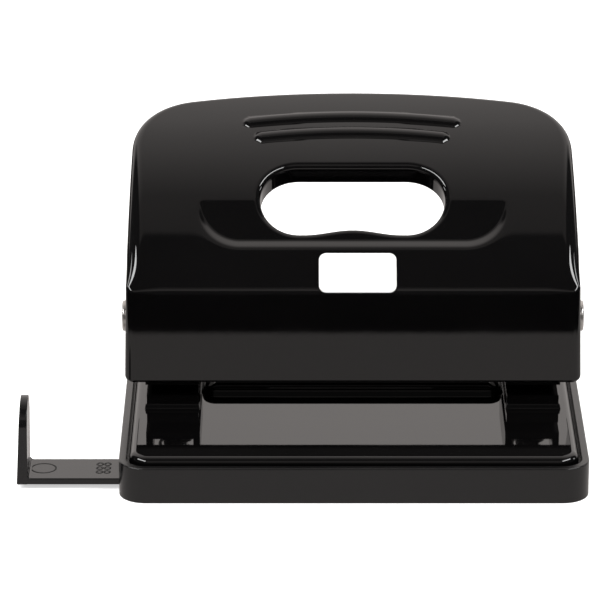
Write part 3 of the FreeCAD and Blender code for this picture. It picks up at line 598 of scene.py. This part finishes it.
# A blank plate laid on the handle: a rounded rectangle grown from its middle in rings, lifted by its
# thickness, turned over at its edge and closed below; it follows the bend under the handle.
def badgePlate():
    halfHeight = (badge["high"] - badge["low"]) / 2
    outline, _ = roundRectangle(badge["width"] / 2, halfHeight, badge["corner"])
    edgeY = lever["pressLine"] + lever["frontEdge"]
    edgeZ = float(arcHeight(edgeY, lever["frontEdge"]))
    upY, upZ = unit(np.array([edgeY - axisY, edgeZ - axisZ]))
    bendRun = float(arcRun(edgeY + upY * lever["frontEdge"]))
    rings = []
    scales = np.linspace(0.02, 0.97, 14)
    edge = [(0.992, 0.8), (1.0, 0.4), (1.0, -0.2)]
    for scale, lift in [(size, 1.0) for size in scales] + edge + [(size, -0.4) for size in scales[::-1]]:
        x = badge["middle"] + outline[:, 0] * scale
        run = (badge["high"] + badge["low"]) / 2 + outline[:, 1] * scale
        point, normal = onHandle(np.column_stack([x, np.maximum(run, bendRun)]))
        turn = np.maximum(bendRun - run, 0) / lever["frontEdge"]
        direction = np.column_stack([0 * x, upY * np.cos(turn) - upZ * np.sin(turn),
                                     upZ * np.cos(turn) + upY * np.sin(turn)])
        bent = np.column_stack([x, edgeY + 0 * x, edgeZ + 0 * x]) + direction * lever["frontEdge"]
        point = np.where(run[:, None] < bendRun, bent, point)
        normal = np.where(run[:, None] < bendRun, direction, normal)
        rings.append(point + normal * (badge["thickness"] * lift - badge["sunk"]))
    return np.stack(rings)


gridPiece("blankBadge", badgePlate(), "lever", "badge")
print("badge laid on")

guide = {
    "left": -73.4, "right": 40.1, "front": -34.0, "rear": -22.4, "low": 1.1, "top": 19.5,
    "gauge": 1.5,
    "edge": 0.25,
    "stopLean": (0.9, 0.2),      # how far the stop's outer and inner faces lean in at the top
    "stopFoot": 2.35,
    "barInset": (1.2, 0.04, 0.02),   # the bar inside the stop: at its end, in width and in gauge
    "fillet": 0.9,
    "ring": (-67.8, -28.0, 2.7),
    "ringStroke": 0.36,
    "figures": (-54.7, -27.9),
    "figureWidth": 2.25,
    "loop": (0.62, 0.72),
    "stroke": 0.42,
}


# A flat bar with rounded edges, its top swept up to the stop by a quarter circle.
def guideBar():
    width, gauge, edge = guide["rear"] - guide["front"], guide["gauge"], guide["edge"]
    endInset, widthInset, gaugeInset = guide["barInset"]
    outline, facing = roundRectangle(width / 2 - widthInset, gauge / 2 - gaugeInset, edge)
    outline = outline + [(guide["front"] + guide["rear"]) / 2, guide["low"] + gauge / 2]
    points, normals = slab(outline, facing, guide["left"] + endInset, guide["right"], edge, 340)
    start = guide["left"] + guide["stopFoot"] + guide["fillet"]
    into = np.clip((start - points[..., 0]) / guide["fillet"], 0, 0.995)
    lift = guide["fillet"] * (1 - np.sqrt(1 - into ** 2)) * (points[..., 2] > guide["low"] + gauge / 2)
    slope = into / np.sqrt(1 - into ** 2) * (normals[..., 2] > 0.5)
    points[..., 2] += lift
    normals[..., 0] += slope
    return points, unit(normals)


# An upright plate with a semicircular top, tapered from its foot.
def guideStop():
    half = (guide["rear"] - guide["front"]) / 2
    middle = (guide["front"] + guide["rear"]) / 2
    edge, low = guide["edge"], guide["low"]
    outline, facing = arcLoop((middle, guide["top"] - half, half, 0, 180),
                              (middle - half + edge, low + edge, edge, 180, 270),
                              (middle + half - edge, low + edge, edge, 270, 360))
    foot = guide["stopFoot"]
    points, normals = slab(outline, facing, 0, foot, edge)
    rise = (points[..., 2] - low) / (guide["top"] - low)
    outer, inner = guide["stopLean"]
    across = points[..., 0] / foot
    points[..., 0] = guide["left"] + outer * rise + across * (foot + (inner - outer) * rise)
    return points, normals


# A thin flat ring: an ellipse widened by half the stroke either way and lifted off the bar.
def printedLoop(centre, radii, stroke):
    turn = np.radians(np.arange(0, 360, 7.5))[:, None]
    section = np.array([(-0.5, -0.02), (-0.5, 0.02), (0.5, 0.02), (0.5, -0.02)]) * [stroke, 1]
    x = centre[0] + (radii[0] + section[:, 0]) * np.cos(turn)
    y = centre[1] + (radii[1] + section[:, 0]) * np.sin(turn)
    z = guide["low"] + guide["gauge"] + section[:, 1] + 0 * turn
    return np.stack([x, y, z], -1)


barPoints, barNormals = guideBar()
barPiece = gridPiece("guideBar", barPoints, "guide", "guide_paint", barNormals)
stopPoints, stopNormals = guideStop()
stopPiece = gridPiece("guideStop", stopPoints, "guide", "guide_paint", stopNormals)
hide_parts("paper_guide")
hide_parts("paper_guide")
ringX, ringY, ringRadius = guide["ring"]
gridPiece("guideRing", printedLoop((ringX, ringY), (ringRadius, ringRadius), guide["ringStroke"]),
          "guide", "ink", closeAlong=True)
for index in range(6):
    loopX = guide["figures"][0] + (index % 2 - 0.5) * (guide["loop"][0] * 2 + guide["stroke"])
    loopY = guide["figures"][1] + (index // 2 - 1) * guide["figureWidth"]
    gridPiece(f"figureLoop{index}", printedLoop((loopX, loopY), guide["loop"], guide["stroke"]), "guide",
              "ink", closeAlong=True)
print("guide drawn")

plate = {
    "halfX": 48.8, "halfY": 38.8,
    "corner": 4.5,
    "top": 9.25,
    "low": 4.0,
    "gauge": 1.2,
    "shoulder": 1.7,
    "lip": 4.2,                  # how far the rim reaches in over the sheet
    "sheet": (46.2, 35.0),
    "padHalf": 33.95, "padFront": -2.5, "padRear": 32.8,
    "padCorner": 3.5,
    # the pad's wall and crown from its foot up: each part's length and its tilt at either end
    "padProfile": ((0.15, 0, 74), (1.2, 74, 74), (0.3, 68, 62), (0.7, 62, 21), (2.6, 21, 16),
                   (1.6, 16, 0)),
    "seat": (34.1, 46.1, -9.6, 32.9),
    "seatHeight": 1.23,
    "seatWall": 0.3,
    "hole": (40.0, 8.79, 4.0),
}


# The plate's rounded edge as nested outlines: in along the top, a quarter round, down the side, and
# back up inside the plate.
def plateRim():
    radius, top, gauge = plate["shoulder"], plate["top"] + 0.01, plate["gauge"]
    turn = np.radians(np.linspace(90, 0, 9))
    rows = [(plate["lip"], top, 90)]
    rows += [(radius * (1 - math.cos(t)), top - radius * (1 - math.sin(t)), math.degrees(t)) for t in turn]
    rows += [(0, plate["low"] + 0.2, 0), (0.2, plate["low"], -90), (gauge, plate["low"], -90),
             (gauge, top - radius, 180), (gauge + 0.4, top - gauge, 225), (plate["lip"], top - gauge, 270)]
    return nestedOutlines(rows, *roundRectangle(plate["halfX"], plate["halfY"], plate["corner"]))


# Height above the plate's flat. The pad's is its profile, read at the depth inside a rounded
# rectangle, where the profile is the running sum of short steps at the tilt of each part. The seat's
# under each die is the depth inside its outline, eased over the width of its wall.
def plateLift(x, y):
    corner = plate["padCorner"]
    middle = (plate["padFront"] + plate["padRear"]) / 2
    dx = np.abs(x) - (plate["padHalf"] - corner)
    dy = np.abs(y - middle) - (plate["padRear"] - middle - corner)
    inside = corner - np.hypot(np.maximum(dx, 0), np.maximum(dy, 0))
    steps = 12
    tilt = np.radians(np.concatenate([np.linspace(first, last, steps)
                                      for _, first, last in plate["padProfile"]]))
    step = np.repeat([length / steps for length, _, _ in plate["padProfile"]], steps)
    run, rise = (np.append(0, np.cumsum(step * share)) for share in (np.cos(tilt), np.sin(tilt)))
    pad = np.interp(inside, run, rise)
    inner, outer, front, rear = plate["seat"]
    inside = np.minimum(np.minimum(np.abs(x) - inner, outer - np.abs(x)), np.minimum(y - front, rear - y))
    return np.maximum(pad, plate["seatHeight"] * smooth(0.5 + inside / plate["seatWall"]))


# The plate's pressed top: rows along Y of a top line and the same line below it by the gauge, with
# lines close together where a wall stands.
def plateSheet():
    halfX, halfY = plate["sheet"]
    border = 0.03   # lines this close to the border keep the top's normals upright there
    right = np.concatenate([np.linspace(0, 29.5, 14), np.arange(29.9, 32.3, 0.4),
                            np.arange(32.4, 34.1, 0.055), np.arange(34.1, 35.2, 0.14),
                            np.linspace(36, 45.4, 8), np.arange(45.6, 46.15, 0.08),
                            [halfX - border, halfX]])
    x = np.concatenate([-right[:0:-1], right])
    y = np.concatenate([[-halfY], np.linspace(border - halfY, -11, 8), np.arange(-10, -9.1, 0.08),
                        np.linspace(-8.5, -2.9, 6), np.arange(-2.7, -0.5, 0.05), np.arange(-0.4, 4.6, 0.3),
                        np.linspace(5, 28, 9), np.arange(28.5, 33.5, 0.14),
                        [34.2, halfY - border, halfY]])
    across, along = np.meshgrid(x, y)
    height = plate["top"] + plateLift(across, along)
    top = np.stack([across, along, height], -1)
    return np.concatenate([top, top[:, ::-1] - [0, 0, plate["gauge"]]], 1)


# Cuts a round hole along Z through a piece and leaves a plain mesh.
def drilled(piece, x, y, radius):
    outline, facing = arcLoop((y, x, radius, 0, 354))
    drill, _ = slab(outline, facing, 0, 20, 0.1)
    cutter = gridPiece("drill", drill[..., [2, 1, 0]], "punch", "plate_paint")
    cut = piece.modifiers.new("hole", "BOOLEAN")
    cut.object = cutter
    cut.solver = "EXACT"
    mesh = bpy.data.meshes.new_from_object(piece.evaluated_get(bpy.context.evaluated_depsgraph_get()))
    piece.modifiers.clear()
    piece.data = mesh
    bpy.data.objects.remove(cutter)


rimPoints, rimNormals = plateRim()
rimPiece = gridPiece("plateRim", rimPoints, "punch", "plate_paint", rimNormals, closeAlong=True)
sheetPiece = gridPiece("plateSheet", plateSheet(), "punch", "plate_paint")
for side in (-1, 1):
    drilled(sheetPiece, side * plate["hole"][0], plate["hole"][1], plate["hole"][2])
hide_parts("base_plate")
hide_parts("base_plate")
print("plate pressed")

trayFoot = {
    "halfX": 50.99, "halfY": 41.99,
    "corner": 5.99,
    "radius": 0.2,
    "high": 2.6,
    "flat": 2.4,
    "lift": 0.01,                 # of its underside from the desk
    "slot": (-22.3, -34.1, 1.0),  # the side guide leaves through here: along Y, and its floor
}


# The tray's bottom edge as nested outlines: down the side, a small quarter round, in along the
# underside, and back up inside the wall, no higher than the floor of the side guide's slot there.
def footBand():
    radius, lift = trayFoot["radius"], trayFoot["lift"]
    turn = np.radians(np.linspace(0, -90, 6))
    rows = [(0, trayFoot["high"], 0)]
    rows += [(radius * (1 - math.cos(t)), lift + radius * (1 + math.sin(t)), math.degrees(t)) for t in turn]
    rows += [(trayFoot["flat"], lift, -90), (trayFoot["flat"], 0.6, 90), (0.5, trayFoot["high"], 90)]
    outline, facing = roundRectangle(trayFoot["halfX"], trayFoot["halfY"], trayFoot["corner"])
    slotRear, slotFront, slotFloor = trayFoot["slot"]
    along = np.array([slotRear + 0.1, slotRear + 0.05, slotFront - 0.05, slotFront - 0.1])
    mark = int(np.argmax(outline[:, 0] < 0.001 - trayFoot["halfX"])) + 1
    outline = np.insert(outline, mark, np.column_stack([0 * along - trayFoot["halfX"], along]), axis=0)
    facing = np.insert(facing, mark, np.column_stack([0 * along - 1, 0 * along]), axis=0)
    limit = np.full(len(outline), trayFoot["high"])
    limit[mark + 1:mark + 3] = slotFloor
    return nestedOutlines(rows, outline, facing, limit)


footPoints, footNormals = footBand()
gridPiece("trayFoot", footPoints, "tray", "tray_plastic", footNormals, closeAlong=True)
print("tray edged")

spring = {
    "x": 40.0, "y": 8.79,
    "radius": 3.5, "wire": 0.4, "turns": 5,
    "endPitch": 0.38,            # at either end, as a share of the pitch between
    "endTurns": 1.2,             # over which it grows
    "low": 17.0, "high": 27.59,
    "seat": 16.5,
    "stroke": 6.8,
}


# A round wire wound on a helix whose pitch closes up over the first and last turns.
def springWire(side):
    t = np.linspace(0, 1, spring["turns"] * 40 + 1)
    closed = spring["endPitch"]
    rate = closed + (1 - closed) * smooth(np.minimum(t, 1 - t) * spring["turns"] / spring["endTurns"])
    height = np.append(0, np.cumsum((rate[1:] + rate[:-1]) / 2))
    height = spring["low"] + (spring["high"] - spring["low"]) * height / height[-1]
    angle = t * spring["turns"] * 2 * math.pi
    section = np.radians(np.arange(0, 360, 30))
    reach = spring["radius"] + spring["wire"] * np.cos(section)[None]
    x = side * spring["x"] + reach * np.cos(angle)[:, None]
    y = spring["y"] + reach * np.sin(angle)[:, None]
    z = height[:, None] + spring["wire"] * np.sin(section)[None]
    return np.stack([x, y, z], -1)


for side, word in ((-1, "left"), (1, "right")):
    springPiece = gridPiece(f"{word}Spring", springWire(side), "punch", "spring_steel")
    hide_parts(f"{word}_return_spring")
    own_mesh(springPiece)
print("springs wound")

camera = {
    "place": (-0.011706, -0.917932, 0.365661),
    "tilt": 70.0,
    "lens": 263.28,
}
cameraData = bpy.data.cameras.new("studioCamera")
cameraData.lens = camera["lens"]
cameraData.sensor_width = 36.0
cameraData.sensor_fit = "HORIZONTAL"
cameraObject = bpy.data.objects.new("studioCamera", cameraData)
cameraObject.location = camera["place"]
cameraObject.rotation_euler = (math.radians(camera["tilt"]), 0, 0)
scene.collection.objects.link(cameraObject)
scene.camera = cameraObject

studio = {
    "warm": (1.0, 0.94, 0.91),
    "dark": (0.06, 0.06, 0.06),
    "floorHalf": 3.0,
    "floorColour": (0.80, 0.80, 0.80),
    "floorGlow": 0.55,           # added where the camera sees the floor
    "sheetFront": 0.075,         # a white sheet seen only in reflections: its round front corners are
    "sheetSide": 0.064,          # centred this far ahead and this far to either side,
    "sheetCorner": 0.110,        # have this radius
    "sheetEdge": 0.004,          # and fade over this much either way
    "sheetLevel": 0.62,
    # the world in reflections: share of the way over from the front to the back, and level there
    "backdrop": ((0.14, 0.06), (0.16, 0.45), (0.21, 0.45), (0.23, 0.20), (0.27, 0.20), (0.31, 0.05),
                 (0.427, 0.27), (0.50, 0.32), (0.60, 0.75), (0.68, 1.0), (1.0, 1.0)),
    "backdropStart": (0.0, 0.06),
    "backdropDark": (0.417, 0.05),
    "sideShift": -0.6,           # the dark sides of the world open by this much of the share
    "sideFade": (0.15, 0.23),
}


# One sum on numbers and sockets, in the order of the node's inputs.
def mathNode(tree, operation, *values):
    node = tree.nodes.new("ShaderNodeMath")
    node.operation = operation
    for value, socket in zip(values, node.inputs):
        if isinstance(value, float):
            socket.default_value = value
        else:
            tree.links.new(value, socket)
    return node.outputs["Value"]


# A pale sheet: white to the camera, where the object's shadow still shows, and in reflections.
def whiteFloor():
    material = bpy.data.materials.new("paleFloor")
    material.use_nodes = True
    tree = material.node_tree
    tree.nodes.clear()
    output = tree.nodes.new("ShaderNodeOutputMaterial")
    diffuse = tree.nodes.new("ShaderNodeBsdfDiffuse")
    diffuse.inputs["Color"].default_value = (*studio["floorColour"], 1)
    path = tree.nodes.new("ShaderNodeLightPath")
    white = tree.nodes.new("ShaderNodeEmission")
    glow = mathNode(tree, "MULTIPLY", path.outputs["Is Camera Ray"], studio["floorGlow"])
    tree.links.new(glow, white.inputs["Strength"])
    lit = tree.nodes.new("ShaderNodeAddShader")
    tree.links.new(diffuse.outputs["BSDF"], lit.inputs[0])
    tree.links.new(white.outputs["Emission"], lit.inputs[1])
    place = tree.nodes.new("ShaderNodeTexCoord")
    parts = tree.nodes.new("ShaderNodeSeparateXYZ")
    tree.links.new(place.outputs["Object"], parts.inputs["Vector"])
    aside = mathNode(tree, "SUBTRACT", mathNode(tree, "ABSOLUTE", parts.outputs["X"]), studio["sheetSide"])
    aside = mathNode(tree, "MAXIMUM", aside, 0.0)
    ahead = mathNode(tree, "MULTIPLY_ADD", parts.outputs["Y"], -1.0, -studio["sheetFront"])
    ahead = mathNode(tree, "MAXIMUM", ahead, 0.0)
    squares = mathNode(tree, "MULTIPLY_ADD", aside, aside, mathNode(tree, "MULTIPLY", ahead, ahead))
    away = mathNode(tree, "SQRT", squares)
    near = tree.nodes.new("ShaderNodeMapRange")
    near.inputs["From Min"].default_value = studio["sheetCorner"] + studio["sheetEdge"]
    near.inputs["From Max"].default_value = studio["sheetCorner"] - studio["sheetEdge"]
    near.inputs["To Max"].default_value = studio["sheetLevel"]
    tree.links.new(away, near.inputs["Value"])
    reflected = tree.nodes.new("ShaderNodeEmission")
    reflected.inputs["Color"].default_value = (*studio["warm"], 1)
    tree.links.new(near.outputs["Result"], reflected.inputs["Strength"])
    shown = tree.nodes.new("ShaderNodeMixShader")
    tree.links.new(path.outputs["Is Glossy Ray"], shown.inputs["Fac"])
    tree.links.new(lit.outputs["Shader"], shown.inputs[1])
    tree.links.new(reflected.outputs["Emission"], shown.inputs[2])
    tree.links.new(shown.outputs["Shader"], output.inputs["Surface"])
    return material


floorHalf = studio["floorHalf"]
floorMesh = bpy.data.meshes.new("studioFloor")
floorCorners = [(x * floorHalf, y * floorHalf, 0) for x, y in ((-1, -1), (1, -1), (1, 1), (-1, 1))]
floorMesh.from_pydata(floorCorners, [], [(0, 1, 2, 3)])
floorMesh.materials.append(whiteFloor())
floorObject = bpy.data.objects.new("studioFloor", floorMesh)
scene.collection.objects.link(floorObject)


# Goes from the first colour to the second by the share.
def mixedColour(tree, share, first, second):
    node = tree.nodes.new("ShaderNodeMix")
    node.data_type = "RGBA"
    tree.links.new(share, node.inputs["Factor"])
    tree.links.new(first, node.inputs[6])    # the colour sockets A and B, and the colour result
    node.inputs[7].default_value = (*second, 1)
    return node.outputs[2]


# White to the camera. In reflections, a strip from front to back over the punch takes its level from
# the angle round the X axis, as a share of half a turn, and fades to dark at its sides.
def paleWorld(tree):
    output = tree.nodes.new("ShaderNodeOutputWorld")
    sky = tree.nodes.new("ShaderNodeBackground")
    parts = tree.nodes.new("ShaderNodeSeparateXYZ")
    tree.links.new(tree.nodes.new("ShaderNodeTexCoord").outputs["Generated"], parts.inputs["Vector"])
    forward = mathNode(tree, "MULTIPLY", parts.outputs["Y"], -1.0)
    share = tree.nodes.new("ShaderNodeMapRange")
    share.inputs["From Max"].default_value = math.pi
    tree.links.new(mathNode(tree, "ARCTAN2", parts.outputs["Z"], forward), share.inputs["Value"])
    backdrop = tree.nodes.new("ShaderNodeValToRGB")
    stops = backdrop.color_ramp.elements
    for stop, (position, level) in zip(stops, (studio["backdropStart"], studio["backdropDark"])):
        stop.position = position
        stop.color = (level, level, level, 1)
    for position, level in studio["backdrop"]:
        stops.new(position).color = (*(level * np.array(studio["warm"])), 1)
    tree.links.new(share.outputs["Result"], backdrop.inputs["Fac"])
    sideways = mathNode(tree, "ABSOLUTE", parts.outputs["X"])
    sideways = mathNode(tree, "MULTIPLY_ADD", share.outputs["Result"], studio["sideShift"], sideways)
    fade = tree.nodes.new("ShaderNodeMapRange")
    fade.inputs["From Min"].default_value, fade.inputs["From Max"].default_value = studio["sideFade"]
    tree.links.new(sideways, fade.inputs["Value"])
    reflected = mixedColour(tree, fade.outputs["Result"], backdrop.outputs["Color"], studio["dark"])
    path = tree.nodes.new("ShaderNodeLightPath")
    shown = mixedColour(tree, path.outputs["Is Camera Ray"], reflected, (1.0, 1.0, 1.0))
    tree.links.new(shown, sky.inputs["Color"])
    tree.links.new(sky.outputs["Background"], output.inputs["Surface"])


world = bpy.data.worlds.new("studioWorld")
scene.world = world
world.use_nodes = True
world.node_tree.nodes.clear()
paleWorld(world.node_tree)


lamps = {
    "ceilingPanel": {"place": (0.0, -0.1, 1.2), "target": (0, 0, 0), "size": (1.6, 1.6),
                     "power": 13.0, "glossy": False},
    "sideStrip": {"place": (0.93, 0.20, 0.30), "target": (0, 0, 0.03), "size": (0.14, 0.14),
                  "power": 0.4, "glossy": True},
    "frontBox": {"place": (0.60, -0.38, 0.64), "target": (0, 0, 0.03), "size": (0.80, 0.17),
                 "power": 5.5, "glossy": True},
}


# A rectangular lamp turned to its target: tilted by the fall to it, then turned to its bearing.
def areaLamp(name, settings, side=1):
    data = bpy.data.lights.new(name, "AREA")
    data.shape = "RECTANGLE"
    data.size, data.size_y = settings["size"]
    data.energy = settings["power"]
    lamp = bpy.data.objects.new(name, data)
    place = np.array(settings["place"]) * (side, 1, 1)
    lamp.location = place
    aim = unit(np.array(settings["target"]) - place)
    lamp.rotation_euler = (math.acos(-aim[2]), 0, math.atan2(-aim[0], aim[1]))
    lamp.visible_glossy = settings["glossy"]
    scene.collection.objects.link(lamp)


areaLamp("ceilingPanel", lamps["ceilingPanel"])
for side in (-1, 1):
    areaLamp(f"sideStrip{side}", lamps["sideStrip"], side)
    areaLamp(f"frontBox{side}", lamps["frontBox"], side)
scene.view_settings.view_transform = "Standard"
print("studio set")
